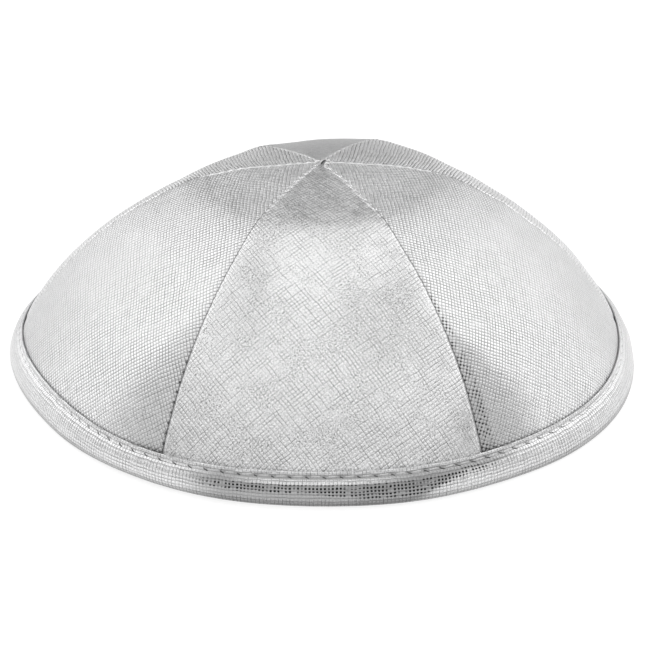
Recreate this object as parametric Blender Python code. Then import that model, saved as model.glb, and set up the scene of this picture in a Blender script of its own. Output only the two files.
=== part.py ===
"""Kippah: a shallow round skullcap of six cloth panels, bound round its rim with a folded cloth band.

Metres, +Z up. The origin is the middle of the rim, on the surface that the cap rests on.
The front panel faces -Y. Azimuths are in degrees from the front, growing towards +X.
"""
from math import asin, atan2, cos, degrees, hypot, pi, radians, sin, tan

import bmesh
import bpy

# Overall form
RIM_RADIUS = 0.0860     # where the panels go into the band
CROWN_RISE = 0.0486     # from the band's upper edge to the crown's tip
CROWN_LEAN = 0.015      # slope that lifts the crown a little on its +X side

# Cloth
PANEL_WALL = 0.0010
TAPE_WALL = 0.0009
SEAM_GAP = 0.0003       # between the edges of two panels that are sewn together
TIP_WIDTH = 0.0006      # what is left of a panel's width at the crown's tip

# Band round the rim
BAND_HEIGHT = 0.0082    # of the band's upper edge above the surface
BAND_FLARE = 0.0039     # how far the band leans out over that height
STITCH_DROP = 0.0020    # from the upper edge down to the line of topstitching
STITCH_SINK = 0.0002    # how far the topstitching pulls the band in
ROLL_PUFF = 0.0007      # how far the band swells below the topstitching
FOLD_DEPTH = 0.0042     # of the folded cloth that fills the band's foot
FOLD_RADIUS = 0.0009    # of the band's outer and inner lower edge
TUCK_CLEARANCE = 0.0003 # between the panels and the band that holds them

# How finely the forms are divided
PANEL_COLUMNS = 10
PANEL_ROWS = 15
TUCK_ROWS = 2
ROLL_STEPS = 4
FOLD_STEPS = 3

# The crown's sections, from its tip out to its rim. "out" is a share of RIM_RADIUS and the drops are
# shares of CROWN_RISE, along the front, side and back seams. "round" is 0 where the section is a
# six-sided figure with its corners on the seams, and 1 where it is a circle. The corners soften
# towards the rim.
SECTIONS = [
    {"out": 0.00, "front_drop": 0.000, "side_drop": 0.000, "back_drop": 0.000, "round": 0.12},
    {"out": 0.12, "front_drop": 0.013, "side_drop": 0.019, "back_drop": 0.023, "round": 0.37},
    {"out": 0.25, "front_drop": 0.044, "side_drop": 0.034, "back_drop": 0.056, "round": 0.58},
    {"out": 0.40, "front_drop": 0.089, "side_drop": 0.086, "back_drop": 0.121, "round": 0.62},
    {"out": 0.55, "front_drop": 0.210, "side_drop": 0.205, "back_drop": 0.268, "round": 0.56},
    {"out": 0.70, "front_drop": 0.381, "side_drop": 0.378, "back_drop": 0.425, "round": 0.53},
    {"out": 0.85, "front_drop": 0.611, "side_drop": 0.617, "back_drop": 0.695, "round": 0.68},
    {"out": 1.00, "front_drop": 1.000, "side_drop": 1.000, "back_drop": 1.000, "round": 0.93},
]

# The six seams, in order round the crown
SEAMS = {
    "front_right": {"azimuth": 28.9, "drop": "front_drop"},
    "right": {"azimuth": 88.5, "drop": "side_drop"},
    "back_right": {"azimuth": 150.9, "drop": "back_drop"},
    "back_left": {"azimuth": 211.4, "drop": "back_drop"},
    "left": {"azimuth": 271.8, "drop": "side_drop"},
    "front_left": {"azimuth": 332.0, "drop": "front_drop"},
}

# The six panels, each from one seam to the next. "rim_round" is added to the sections' "round" at
# the rim and fades out towards the tip.
PANELS = {
    "panel_front_right": {"from": "front_right", "to": "right", "rim_round": 0.16},
    "panel_back_right": {"from": "right", "to": "back_right", "rim_round": 0.09},
    "panel_back": {"from": "back_right", "to": "back_left", "rim_round": 0.00},
    "panel_back_left": {"from": "back_left", "to": "left", "rim_round": -0.10},
    "panel_front_left": {"from": "left", "to": "front_left", "rim_round": -0.11},
    "panel_front": {"from": "front_left", "to": "front_right", "rim_round": -0.06},
}

# Finishes
CLOTH_COLOUR = (0.62, 0.62, 0.63, 1.0)
BAND_COLOUR = (0.58, 0.58, 0.59, 1.0)
CLOTH_METALLIC = 0.6
CLOTH_ROUGHNESS = 0.42

# Lengths that follow from the ones above
FLARE = atan2(BAND_FLARE, BAND_HEIGHT)
BAND_SLANT = hypot(BAND_FLARE, BAND_HEIGHT)
SLOT_DEPTH = BAND_SLANT - FOLD_DEPTH
TUCK_DEPTH = SLOT_DEPTH - TUCK_CLEARANCE
TIP_RADIUS = (TIP_WIDTH + SEAM_GAP) / 2 / tan(pi / len(SEAMS))


def monotone_slopes(places, values):
    """Slopes at the points of a curve that never overshoots them."""
    steps = [b - a for a, b in zip(places, places[1:])]
    rises = [(b - a) / step for a, b, step in zip(values, values[1:], steps)]
    inner = []
    for before, after, step_before, step_after in zip(rises, rises[1:], steps, steps[1:]):
        if before * after <= 0:
            inner.append(0.0)
            continue
        weight_before = 2 * step_after + step_before
        weight_after = step_after + 2 * step_before
        total = weight_before + weight_after
        inner.append(total / (weight_before / before + weight_after / after))
    return [2 * rises[0] - inner[0]] + inner + [2 * rises[-1] - inner[-1]]


def section_value(column, out):
    """A column of SECTIONS at any share of the way out, on a smooth curve through its rows."""
    places = [row["out"] for row in SECTIONS]
    values = [row[column] for row in SECTIONS]
    slopes = monotone_slopes(places, values)
    i = max(j for j, place in enumerate(places[:-1]) if place <= out)
    step = places[i + 1] - places[i]
    t = (out - places[i]) / step
    start = values[i] * (1 + 2 * t) * (1 - t) ** 2 + slopes[i] * step * t * (1 - t) ** 2
    end = values[i + 1] * t ** 2 * (3 - 2 * t) - slopes[i + 1] * step * t ** 2 * (1 - t)
    return start + end


def panel_azimuths(panel):
    """The azimuths of a panel's two seams, the second one always the larger."""
    first = radians(SEAMS[panel["from"]]["azimuth"])
    second = radians(SEAMS[panel["to"]]["azimuth"])
    if second < first:
        second += 2 * pi
    return first, second


def crown_point(panel, across, out):
    """Azimuth, radius and height of the crown's outer face, across a panel and out from the tip."""
    first, second = panel_azimuths(panel)
    azimuth = first + (second - first) * across
    half = (second - first) / 2
    off_middle = azimuth - first - half
    cornered = cos(half) / cos(off_middle)
    softened = 1 - (1 - cos(half)) * cos(pi / 2 * off_middle / half) ** 2
    flat = cornered + (softened - cornered) * out ** 3
    roundness = section_value("round", out) + panel["rim_round"] * out ** 3
    radius = RIM_RADIUS * out * (flat + (1 - flat) * roundness)
    blend = across ** 2 * (3 - 2 * across)
    first_drop = section_value(SEAMS[panel["from"]]["drop"], out)
    second_drop = section_value(SEAMS[panel["to"]]["drop"], out)
    drop = first_drop + (second_drop - first_drop) * blend
    lean = CROWN_LEAN * radius * sin(azimuth) * (1 - out ** 2)
    height = BAND_HEIGHT + CROWN_RISE * (1 - drop) + lean
    return azimuth, radius, height


def rim_spread():
    """Half of how much farther the rim reaches to +X than to -X, and to +Y than to -Y."""
    xs = []
    ys = []
    for panel in PANELS.values():
        for column in range(PANEL_COLUMNS):
            azimuth, radius, height = crown_point(panel, column / PANEL_COLUMNS, 1.0)
            xs.append(radius * sin(azimuth))
            ys.append(-radius * cos(azimuth))
    return (max(xs) + min(xs)) / 2, (max(ys) + min(ys)) / 2


MIDDLE_X, MIDDLE_Y = rim_spread()


def placed(azimuth, radius, height):
    """A point at an azimuth, radius and height, in the part's own frame."""
    return radius * sin(azimuth) - MIDDLE_X, -radius * cos(azimuth) - MIDDLE_Y, height


def panel_profile(panel, across):
    """One line of a panel's outer face, from its tip down into the band."""
    tip_out = TIP_RADIUS / RIM_RADIUS
    profile = []
    for row in range(PANEL_ROWS + 1):
        out = tip_out + (1 - tip_out) * row / PANEL_ROWS
        profile.append(crown_point(panel, across, out))
    azimuth, radius, height = profile[-1]
    for row in range(1, TUCK_ROWS + 1):
        depth = TUCK_DEPTH * row / TUCK_ROWS
        profile.append((azimuth, radius + depth * sin(FLARE), height - depth * cos(FLARE)))
    return profile


def inner_profile(profile):
    """The same line on the panel's inner face, one wall thickness further in."""
    inner = []
    last = len(profile) - 1
    for i, (azimuth, radius, height) in enumerate(profile):
        above = profile[max(i - 1, 0)]
        below = profile[min(i + 1, last)]
        run = below[1] - above[1]
        fall = above[2] - below[2]
        length = hypot(run, fall)
        inner.append((azimuth, radius - PANEL_WALL * fall / length, height - PANEL_WALL * run / length))
    return inner


def narrowed(panel, azimuth, radius):
    """An azimuth drawn in towards the panel's middle, which leaves half a seam gap at its edges."""
    first, second = panel_azimuths(panel)
    half = (second - first) / 2
    middle = first + half
    return middle + (azimuth - middle) * (1 - asin(SEAM_GAP / 2 / radius) / half)


def new_object(name, mesh_data, colour, collection):
    """An object of its own for a sub-part, with a material of its own."""
    mesh = bpy.data.meshes.new(name)
    bmesh.ops.recalc_face_normals(mesh_data, faces=mesh_data.faces)
    mesh_data.to_mesh(mesh)
    mesh_data.free()
    mesh.shade_smooth()
    mesh.set_sharp_from_angle(angle=radians(35))
    material = bpy.data.materials.new(name + "_cloth")
    material.use_nodes = True
    shader = material.node_tree.nodes["Principled BSDF"]
    shader.inputs["Base Color"].default_value = colour
    shader.inputs["Roughness"].default_value = CLOTH_ROUGHNESS
    shader.inputs["Metallic"].default_value = CLOTH_METALLIC
    mesh.materials.append(material)
    collection.objects.link(bpy.data.objects.new(name, mesh))


def make_panel(name, panel, collection):
    """A flat slab of cloth, bent to the crown between two seams."""
    rows = PANEL_ROWS + TUCK_ROWS
    slab = bmesh.new()
    bmesh.ops.create_grid(slab, x_segments=PANEL_COLUMNS, y_segments=rows, size=0.5)
    outer = list(slab.verts)
    made = bmesh.ops.extrude_face_region(slab, geom=slab.faces[:], use_keep_orig=True)
    inner = [item for item in made["geom"] if isinstance(item, bmesh.types.BMVert)]
    profiles = [panel_profile(panel, column / PANEL_COLUMNS) for column in range(PANEL_COLUMNS + 1)]
    linings = [inner_profile(profile) for profile in profiles]
    for verts, lines in ((outer, profiles), (inner, linings)):
        for vert in verts:
            column = round((vert.co.x + 0.5) * PANEL_COLUMNS)
            row = round((0.5 - vert.co.y) * rows)
            azimuth, radius, height = lines[column][row]
            vert.co = placed(narrowed(panel, azimuth, radius), radius, height)
    new_object(name, slab, CLOTH_COLOUR, collection)


def on_slant(depth, stand_off):
    """How far out and how high a point lies, down the band's slant and off the panels' outer face."""
    out = depth * sin(FLARE) + stand_off * cos(FLARE)
    return out, BAND_HEIGHT - depth * cos(FLARE) + stand_off * sin(FLARE)


def fold_arc(centre, start, end):
    """A round lower edge of the band, about a centre, between two angles."""
    points = []
    for step in range(FOLD_STEPS + 1):
        angle = start + (end - start) * step / FOLD_STEPS
        points.append((centre[0] + FOLD_RADIUS * cos(angle), centre[1] + FOLD_RADIUS * sin(angle)))
    return points


def band_section():
    """The band's cut outline, as points out from the rim's radius and up from the surface."""
    outer = TUCK_CLEARANCE + TAPE_WALL
    inner = -PANEL_WALL - TUCK_CLEARANCE
    foot_depth = BAND_SLANT - FOLD_RADIUS / cos(FLARE)
    outline = [on_slant(0, TUCK_CLEARANCE), on_slant(0, outer)]
    for step in range(ROLL_STEPS + 1):
        share = step / ROLL_STEPS
        depth = STITCH_DROP + (foot_depth - STITCH_DROP) * share
        sink = STITCH_SINK * (1 - share)
        outline.append(on_slant(depth, outer - sink + ROLL_PUFF * sin(pi * share)))
    outer_foot = outline.pop()
    outer_centre = (outer_foot[0] - FOLD_RADIUS, FOLD_RADIUS)
    inner_foot = on_slant(foot_depth, inner - TAPE_WALL)
    inner_centre = (inner_foot[0] + FOLD_RADIUS, FOLD_RADIUS)
    outline += fold_arc(outer_centre, 0, -pi / 2)
    outline += fold_arc(inner_centre, -pi / 2, -pi)
    outline += [on_slant(STITCH_DROP, inner - TAPE_WALL), on_slant(0, inner - TAPE_WALL)]
    outline += [on_slant(0, inner), on_slant(SLOT_DEPTH, inner), on_slant(SLOT_DEPTH, TUCK_CLEARANCE)]
    return outline


def make_band(collection):
    """The folded band: its cut outline, carried round the panels' rim."""
    ring = bmesh.new()
    verts = [ring.verts.new((out, 0, height)) for out, height in band_section()]
    edges = [ring.edges.new(pair) for pair in zip(verts, verts[1:] + verts[:1])]
    panels = list(PANELS.values())
    stations = len(panels) * PANEL_COLUMNS
    # The outline is spun on a wheel of one metre, where a station is read off as an angle
    for vert in verts:
        vert.co.x += 1.0
    bmesh.ops.spin(ring, geom=verts + edges, cent=(0, 0, 0), axis=(0, 0, 1), dvec=(0, 0, 0),
                   angle=2 * pi, steps=stations, use_merge=True, use_duplicate=False)
    for vert in ring.verts:
        station = round(degrees(atan2(vert.co.y, vert.co.x)) / 360 * stations) % stations
        out = hypot(vert.co.x, vert.co.y) - 1.0
        panel = panels[station // PANEL_COLUMNS]
        azimuth, radius, height = crown_point(panel, station % PANEL_COLUMNS / PANEL_COLUMNS, 1.0)
        vert.co = placed(azimuth, radius + out, vert.co.z)
    new_object("rim_band", ring, BAND_COLOUR, collection)


def main():
    for item in list(bpy.data.objects):
        bpy.data.objects.remove(item)
    collection = bpy.data.collections.new("kippah")
    bpy.context.scene.collection.children.link(collection)
    for name, panel in PANELS.items():
        make_panel(name, panel, collection)
    make_band(collection)


main()
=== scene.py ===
"""Looks of the kippah: silver woven panels, a folded and topstitched band, light and camera.

Metres, +Z up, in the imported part's frame. Azimuths are in degrees from the front, growing towards +X.
"""
from math import atan2, cos, hypot, pi, radians, sin

import bpy
import numpy as np
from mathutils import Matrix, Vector

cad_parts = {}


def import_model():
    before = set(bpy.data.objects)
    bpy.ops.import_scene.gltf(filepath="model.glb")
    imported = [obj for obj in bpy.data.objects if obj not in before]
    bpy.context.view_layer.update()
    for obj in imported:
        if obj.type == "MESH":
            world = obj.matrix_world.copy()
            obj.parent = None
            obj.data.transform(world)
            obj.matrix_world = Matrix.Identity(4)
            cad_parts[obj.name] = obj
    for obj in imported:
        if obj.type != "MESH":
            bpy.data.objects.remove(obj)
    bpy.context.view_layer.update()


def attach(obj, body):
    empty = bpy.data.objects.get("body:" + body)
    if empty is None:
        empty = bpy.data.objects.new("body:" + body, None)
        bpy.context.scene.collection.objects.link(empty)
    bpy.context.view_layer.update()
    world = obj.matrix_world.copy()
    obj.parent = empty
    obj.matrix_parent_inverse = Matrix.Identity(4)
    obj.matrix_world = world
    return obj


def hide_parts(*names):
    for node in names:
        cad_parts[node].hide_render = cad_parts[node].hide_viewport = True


MILLIMETRES = 1000      # in a metre, for the maps that the materials read

# Crown, as in the part
RIM_RADIUS = 0.0860
CROWN_RISE = 0.0486
CROWN_LEAN = 0.015
PANEL_WALL = 0.0010
TUCK_CLEARANCE = 0.0003
TAPE_WALL = 0.0009
BAND_HEIGHT = 0.0082
BAND_FLARE = 0.0039
FOLD_RADIUS = 0.0009
CAD_COLUMNS = 10        # columns of each panel in the part, which set where its middle is
FLARE = atan2(BAND_FLARE, BAND_HEIGHT)
BAND_SLANT = hypot(BAND_FLARE, BAND_HEIGHT)

# How far down the crown has come at each share of the way out, by its front, side and back seams, and how
# round its panels are there
SECTIONS = [
    {"out": 0.00, "front": 0.000, "side": 0.000, "back": 0.000, "round": 0.12},
    {"out": 0.12, "front": 0.013, "side": 0.019, "back": 0.023, "round": 0.37},
    {"out": 0.25, "front": 0.044, "side": 0.034, "back": 0.056, "round": 0.58},
    {"out": 0.40, "front": 0.089, "side": 0.086, "back": 0.121, "round": 0.62},
    {"out": 0.55, "front": 0.210, "side": 0.205, "back": 0.268, "round": 0.56},
    {"out": 0.70, "front": 0.381, "side": 0.378, "back": 0.425, "round": 0.53},
    {"out": 0.85, "front": 0.611, "side": 0.617, "back": 0.695, "round": 0.68},
    {"out": 1.00, "front": 1.000, "side": 1.000, "back": 1.000, "round": 0.93},
]

# "dip" is how far the cloth sinks towards the low end of a seam, in metres
SEAMS = {
    "front_right": {"azimuth": 28.9, "drop": "front", "dip": 0.0010},
    "right": {"azimuth": 88.5, "drop": "side", "dip": 0.0003},
    "back_right": {"azimuth": 150.9, "drop": "back", "dip": 0.0003},
    "back_left": {"azimuth": 211.4, "drop": "back", "dip": 0.0003},
    "left": {"azimuth": 271.8, "drop": "side", "dip": 0.0003},
    "front_left": {"azimuth": 332.0, "drop": "front", "dip": 0.0010},
}

# Each panel's seams, how much rounder it is at the rim, how far from each seam its cloth dips, in metres,
# and its weave: the directions that the two families of threads follow each other in, in degrees from
# across the panel, and their pitches in metres. On a front side panel, one key says which of its seams is
# the front one, beside which the weave gets painted shade, and on the right painted dark reflection in its
# holes
PANELS = {
    "panel_front_right": {
        "from": "front_right", "to": "right", "rim_round": 0.16, "from_reach": 0.0042,
        "cloth": "side", "front_seam_side": "from",
        "turn_a": 39.8, "pitch_a": 0.000925, "turn_b": 130.5, "pitch_b": 0.000978,
    },
    "panel_back_right": {
        "from": "right", "to": "back_right", "rim_round": 0.09, "cloth": "back",
        "turn_a": 52, "pitch_a": 0.00097, "turn_b": 143, "pitch_b": 0.00096,
    },
    "panel_back": {
        "from": "back_right", "to": "back_left", "rim_round": 0.00, "cloth": "far",
        "turn_a": 44, "pitch_a": 0.00092, "turn_b": 134, "pitch_b": 0.00096,
    },
    "panel_back_left": {
        "from": "back_left", "to": "left", "rim_round": -0.10, "cloth": "back",
        "turn_a": 36, "pitch_a": 0.00096, "turn_b": 127, "pitch_b": 0.00095,
    },
    "panel_front_left": {
        "from": "left", "to": "front_left", "rim_round": -0.11, "to_reach": 0.0058,
        "cloth": "side", "front_seam_side": "to",
        "turn_a": 53.0, "pitch_a": 0.000962, "turn_b": 144.7, "pitch_b": 0.000989,
    },
    "panel_front": {
        "from": "front_left", "to": "front_right", "rim_round": -0.06, "from_reach": 0.0009, "to_reach": 0.0009,
        "cloth": "front",
        "turn_a": 37.0, "pitch_a": 0.000935, "turn_b": 126.7, "pitch_b": 0.000955,
    },
}

ROW_CURVE = 4.6         # how fast a level line on the crown curves away from a straight one in the cloth

# How finely the cloth is divided
COLUMNS = 112
ROWS = 132
TUCK_ROWS = 6
TUCK_LENGTH = 0.0040    # of the panels inside the band
TIP_OUT = 0.004         # share of the way out where the panels begin
COLUMN_CROWDING = 0.62  # how much closer together the columns are at the seams

# Seams between the panels
SEAM_DEPTH = 0.00035
SEAM_REACH = 0.0005
SEAM_SWELL = 0.00010    # how far the cloth swells beside a seam, and how far from the seam
SWELL_PLACE = 0.0026
SWELL_REACH = 0.0018
SWELL_START = 0.03      # how far from the tip it swells fully
SEAM_STITCH = 0.0027
NEEDLE_DEPTH = 0.00008  # of the waves that the stitches make in the cloth beside a seam
NEEDLE_REACH = 0.0014
RIDGE_HEIGHT = 0.00026  # of the seams round the tip, where they stand up instead
RIDGE_START = 0.046     # how far from the tip a seam starts to stand up, and where it fully does
RIDGE_END = 0.030
RIDGE_WAVE = 0.1        # how much the stitches pull the ridges in, as a share of their height
DIP_START = 0.058       # how far from the tip the cloth starts to dip towards a seam
DIP_END = 0.094
DIP_REACH = 0.0020      # how far from the seam the dip reaches, where a panel's row gives no other
DIP_REACH_START = 0.35  # share of its reach that the dip starts with
DIP_CURVE = 1.5
RIM_FADE = 0.002        # how near the rim the cloth's own shapes fade out

# Slack in the cloth
RIPPLE_DEPTH = 0.00022  # of the puckers where the panels go into the band
RIPPLE_REACH = 0.0060
RIPPLE_WAVES = [0.0085, 0.0072, 0.0094, 0.0061, 0.0110, 0.0079]
RIPPLE_SEED = 5
CRUMPLE_DEPTH = 0.00020
CRUMPLE_WAVES = np.linspace(0.012, 0.045, 14)
CRUMPLE_SEED = 11
BACK_LEAN = 0.0018      # how far the back of the crown leans to the right

# Band
BAND_STATIONS = 1120
RIM_STEPS = 240         # of each panel, along which the rim is measured
TAPE_THICK = 0.00045
TAPE_PITCH = 0.00092
STITCH_PITCH = 0.0042
STITCH_DROP = 0.00105   # how far below the band's upper edge the topstitching runs
THREAD_RADIUS = 0.00014
GROOVE_REACH = 0.0011   # of the groove under the topstitching
GROOVE_DEPTH = 0.00016
PUFF_DEPTH = 0.00010    # of the waves in the band's face, and how far below the stitches they are full
PUFF_START = 0.004
PUFF_WAVES = [0.009, 0.012, 0.016, 0.024, 0.007, 0.031]
PUFF_SEED = 23
PUFF_PAST = 0.001       # how far past the face, round the foot, the waves go
PUFF_FADE = 0.002       # how near the floor they fade out


def slopes_through(places, values):
    """Slopes at the points of a curve that never overshoots them, as in the part."""
    steps = np.diff(places)
    rises = np.diff(values) / steps
    slopes = np.zeros(len(places))
    for i in range(1, len(places) - 1):
        before, after = rises[i - 1], rises[i]
        if before * after > 0:
            weight_before = 2 * steps[i] + steps[i - 1]
            weight_after = steps[i] + 2 * steps[i - 1]
            slopes[i] = (weight_before + weight_after) / (weight_before / before + weight_after / after)
    slopes[0] = 2 * rises[0] - slopes[1]
    slopes[-1] = 2 * rises[-1] - slopes[-2]
    return slopes


def smooth_curve(places, values, at):
    """Values at any places, on a smooth curve through the given points."""
    places = np.array(places, float)
    values = np.array(values, float)
    slopes = slopes_through(places, values)
    i = np.clip(np.searchsorted(places, at, side="right") - 1, 0, len(places) - 2)
    step = places[i + 1] - places[i]
    t = (at - places[i]) / step
    start = values[i] * (1 + 2 * t) * (1 - t) ** 2 + slopes[i] * step * t * (1 - t) ** 2
    end = values[i + 1] * t ** 2 * (3 - 2 * t) - slopes[i + 1] * step * t ** 2 * (1 - t)
    return start + end


def section_value(column, out):
    return smooth_curve([row["out"] for row in SECTIONS], [row[column] for row in SECTIONS], out)


def panel_azimuths(panel):
    first = radians(SEAMS[panel["from"]]["azimuth"])
    second = radians(SEAMS[panel["to"]]["azimuth"])
    if second < first:
        second += 2 * pi
    return first, second


def crown_point(panel, across, out):
    """Azimuths, radii and heights of the crown's outer face, as in the part."""
    first, second = panel_azimuths(panel)
    azimuth = first + (second - first) * across
    half = (second - first) / 2
    off_middle = azimuth - first - half
    cornered = cos(half) / np.cos(off_middle)
    softened = 1 - (1 - cos(half)) * np.cos(pi / 2 * off_middle / half) ** 2
    flat = cornered + (softened - cornered) * out ** 3
    roundness = section_value("round", out) + panel["rim_round"] * out ** 3
    radius = RIM_RADIUS * out * (flat + (1 - flat) * roundness)
    blend = across ** 2 * (3 - 2 * across)
    first_drop = section_value(SEAMS[panel["from"]]["drop"], out)
    second_drop = section_value(SEAMS[panel["to"]]["drop"], out)
    drop = first_drop + (second_drop - first_drop) * blend
    lean = CROWN_LEAN * radius * np.sin(azimuth) * (1 - out ** 2)
    return azimuth, radius, BAND_HEIGHT + CROWN_RISE * (1 - drop) + lean


def rim_places(across):
    """Azimuths and radii of the rim, at the same places across each panel."""
    rims = [crown_point(panel, across, np.ones(len(across)))[:2] for panel in PANELS.values()]
    return np.concatenate(rims, axis=1)


def rim_spread():
    """Half of how much farther the rim reaches to +X than to -X, and to +Y than to -Y, as in the part."""
    azimuths, radii = rim_places(np.arange(CAD_COLUMNS) / CAD_COLUMNS)
    xs = radii * np.sin(azimuths)
    ys = -radii * np.cos(azimuths)
    return (xs.max() + xs.min()) / 2, (ys.max() + ys.min()) / 2


MIDDLE_X, MIDDLE_Y = rim_spread()


def placed(azimuth, radius, height):
    x = radius * np.sin(azimuth) - MIDDLE_X
    y = -radius * np.cos(azimuth) - MIDDLE_Y
    return np.stack([x, y, height + 0 * x], axis=-1)


def slack_waves(points, wavelengths, seed):
    """A smooth uneven field in space, from -1 to 1 or so, made of waves in many directions."""
    chance = np.random.RandomState(seed)
    total = np.zeros(points.shape[:-1])
    for wavelength in wavelengths:
        direction = chance.normal(size=3)
        direction /= np.linalg.norm(direction)
        total += np.sin(points @ direction * 2 * pi / wavelength + chance.uniform(0, 2 * pi))
    return total / np.sqrt(len(wavelengths) / 2) / 2


def added(name, data):
    item = bpy.data.objects.new(name, data)
    bpy.context.scene.collection.objects.link(item)
    return item


def mesh_object(name, points, faces, maps, material):
    """A smooth object of points and faces, with named pairs of numbers for each point or face corner."""
    mesh = bpy.data.meshes.new(name)
    mesh.from_pydata(points.tolist(), [], faces.tolist() if hasattr(faces, "tolist") else faces)
    mesh.update()
    corners = np.zeros(len(mesh.loops), np.int32)
    mesh.loops.foreach_get("vertex_index", corners)
    for title, pairs in maps.items():
        layer = mesh.uv_layers.new(name=title)
        pairs = np.asarray(pairs, np.float32)
        if len(pairs) == len(points):
            pairs = pairs[corners]
        layer.data.foreach_set("uv", pairs.ravel())
    mesh.shade_smooth()
    mesh.set_sharp_from_angle(angle=radians(70))
    mesh.materials.append(material)
    return added(name, mesh)


def grid_faces(rows, columns, start=0, flip=False):
    """Quads of a grid of points that is rows by columns."""
    index = start + np.arange(rows * columns).reshape(rows, columns)
    quads = np.stack([index[:-1, :-1], index[1:, :-1], index[1:, 1:], index[:-1, 1:]], axis=-1)
    quads = quads.reshape(-1, 4)
    return quads[:, ::-1] if flip else quads


def edge_faces(rows, columns):
    """Quads that join the borders of a grid to the borders of the grid that follows it."""
    index = np.arange(rows * columns).reshape(rows, columns)
    border = np.concatenate([index[0, :-1], index[:-1, -1], index[-1, :0:-1], index[:0:-1, 0]])
    following = np.roll(border, -1)
    below = rows * columns
    return np.stack([border, following, following + below, border + below], axis=-1)


def panel_grid(panel):
    """A panel's outer face before its slack, and where each point is in the cloth.

    Azimuths, radii, heights, how much the face looks outwards and upwards, and the ways down from the tip,
    sideways from the panel's middle line, and from there to a seam.
    """
    t = np.linspace(0, 1, COLUMNS + 1)
    across = t - COLUMN_CROWDING * np.sin(2 * pi * t) / (2 * pi)
    out = np.linspace(TIP_OUT, 1, ROWS + 1)
    across, out = np.meshgrid(across, out)
    azimuth, radius, height = crown_point(panel, across, out)
    for row in range(1, TUCK_ROWS + 1):
        depth = TUCK_LENGTH * row / TUCK_ROWS
        azimuth = np.vstack([azimuth, azimuth[ROWS]])
        radius = np.vstack([radius, radius[ROWS] + depth * sin(FLARE)])
        height = np.vstack([height, height[ROWS] - depth * cos(FLARE)])
    run = np.gradient(radius, axis=0)
    fall = -np.gradient(height, axis=0)
    length = np.hypot(run, fall)
    down = np.vstack([np.zeros(COLUMNS + 1), np.cumsum((length[1:] + length[:-1]) / 2, axis=0)])
    first, second = panel_azimuths(panel)
    sideways = (azimuth - (first + second) / 2) * radius
    half_width = (second - first) / 2 * radius
    return azimuth, radius, height, fall / length, run / length, down, sideways, half_width


def paired(first, second):
    return np.stack([first, second], axis=-1).reshape(-1, 2)


def make_panel(name, panel, material):
    """A panel of the crown as cloth, pulled in at its seams and rippled at the band. Also its flat size."""
    azimuth, radius, height, out_share, up_share, down, sideways, half_width = panel_grid(panel)
    to_seam = half_width - np.abs(sideways)
    rim_down = down[ROWS]
    to_rim = np.clip(rim_down - down, 0, None)
    fade = np.clip(to_rim / RIM_FADE, 0, 1)
    near_seam = np.exp(-(to_seam / SEAM_REACH) ** 2)
    beside_seam = np.exp(-((to_seam - SWELL_PLACE) / SWELL_REACH) ** 2)
    standing = np.clip((RIDGE_START - down) / (RIDGE_START - RIDGE_END), 0, 1)
    stitches = np.cos(down * 2 * pi / SEAM_STITCH)
    stitched = 1 - RIDGE_WAVE + RIDGE_WAVE * stitches
    lift = (RIDGE_HEIGHT * standing * stitched - SEAM_DEPTH * (1 - standing)) * near_seam
    sinking = np.clip((down - DIP_START) / (DIP_END - DIP_START), 0, 1)
    from_seam = half_width + sideways
    upto_seam = half_width - sideways
    for way, distance in (("from", from_seam), ("to", upto_seam)):
        reach = panel.get(way + "_reach", DIP_REACH) * (DIP_REACH_START + (1 - DIP_REACH_START) * sinking)
        lift -= SEAMS[panel[way]]["dip"] * sinking ** DIP_CURVE * np.exp(-(distance / reach) ** 2)
    lift += SEAM_SWELL * beside_seam * np.clip(down / SWELL_START, 0, 1) * fade
    lift += NEEDLE_DEPTH * stitches * np.exp(-to_seam / NEEDLE_REACH) * fade
    ripples = slack_waves(placed(azimuth, RIM_RADIUS, 0), RIPPLE_WAVES, RIPPLE_SEED)
    lift += RIPPLE_DEPTH * ripples * np.exp(-to_rim / RIPPLE_REACH) * fade
    crumple = slack_waves(placed(azimuth, radius, height), CRUMPLE_WAVES, CRUMPLE_SEED)
    lift += CRUMPLE_DEPTH * crumple * fade
    out = np.clip(radius / RIM_RADIUS, 0, 1)
    lift += BACK_LEAN * np.sin(azimuth) * np.clip(-np.cos(azimuth), 0, 1) * 4 * out * (1 - out)
    outer = placed(azimuth, radius + lift * out_share, height + lift * up_share)
    lining = lift - PANEL_WALL
    inner = placed(azimuth, radius + lining * out_share, height + lining * up_share)
    rows, columns = azimuth.shape
    both = np.concatenate([outer.reshape(-1, 3), inner.reshape(-1, 3)])
    faces = np.concatenate([grid_faces(rows, columns), grid_faces(rows, columns, rows * columns, flip=True),
                            edge_faces(rows, columns)[:, ::-1]])
    lengthwise = down[:, COLUMNS // 2][:, None] - ROW_CURVE * sideways ** 2
    threads = []
    for family in ("a", "b"):
        turn = radians(panel["turn_" + family])
        threads.append((sideways * cos(turn) - lengthwise * sin(turn)) / panel["pitch_" + family])
    maps = {
        "cloth": paired(*threads),
        "seam": paired(from_seam, upto_seam) * MILLIMETRES,
        "run": paired(down / SEAM_STITCH, down * MILLIMETRES),
        "rim": paired(rim_down - down, to_seam) * MILLIMETRES,
    }
    maps = {title: np.tile(pairs, (2, 1)) for title, pairs in maps.items()}
    item = mesh_object(name, both, faces, maps, material)
    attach(item, "root")
    return item, float(half_width[ROWS].max() * 2), float(down[-1, COLUMNS // 2])


# Nodes


class Value:
    """What a node gives. Each sum on it, with a number or another value, adds a node to its tree."""

    def __init__(self, tree, socket):
        self.tree = tree
        self.socket = socket

    def __abs__(self):
        return maths("ABSOLUTE", self)

    def __sub__(self, other):
        return maths("SUBTRACT", self, other)

    def __rsub__(self, other):
        return maths("SUBTRACT", other, self)

    def __mul__(self, other):
        return maths("MULTIPLY", self, other)


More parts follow.
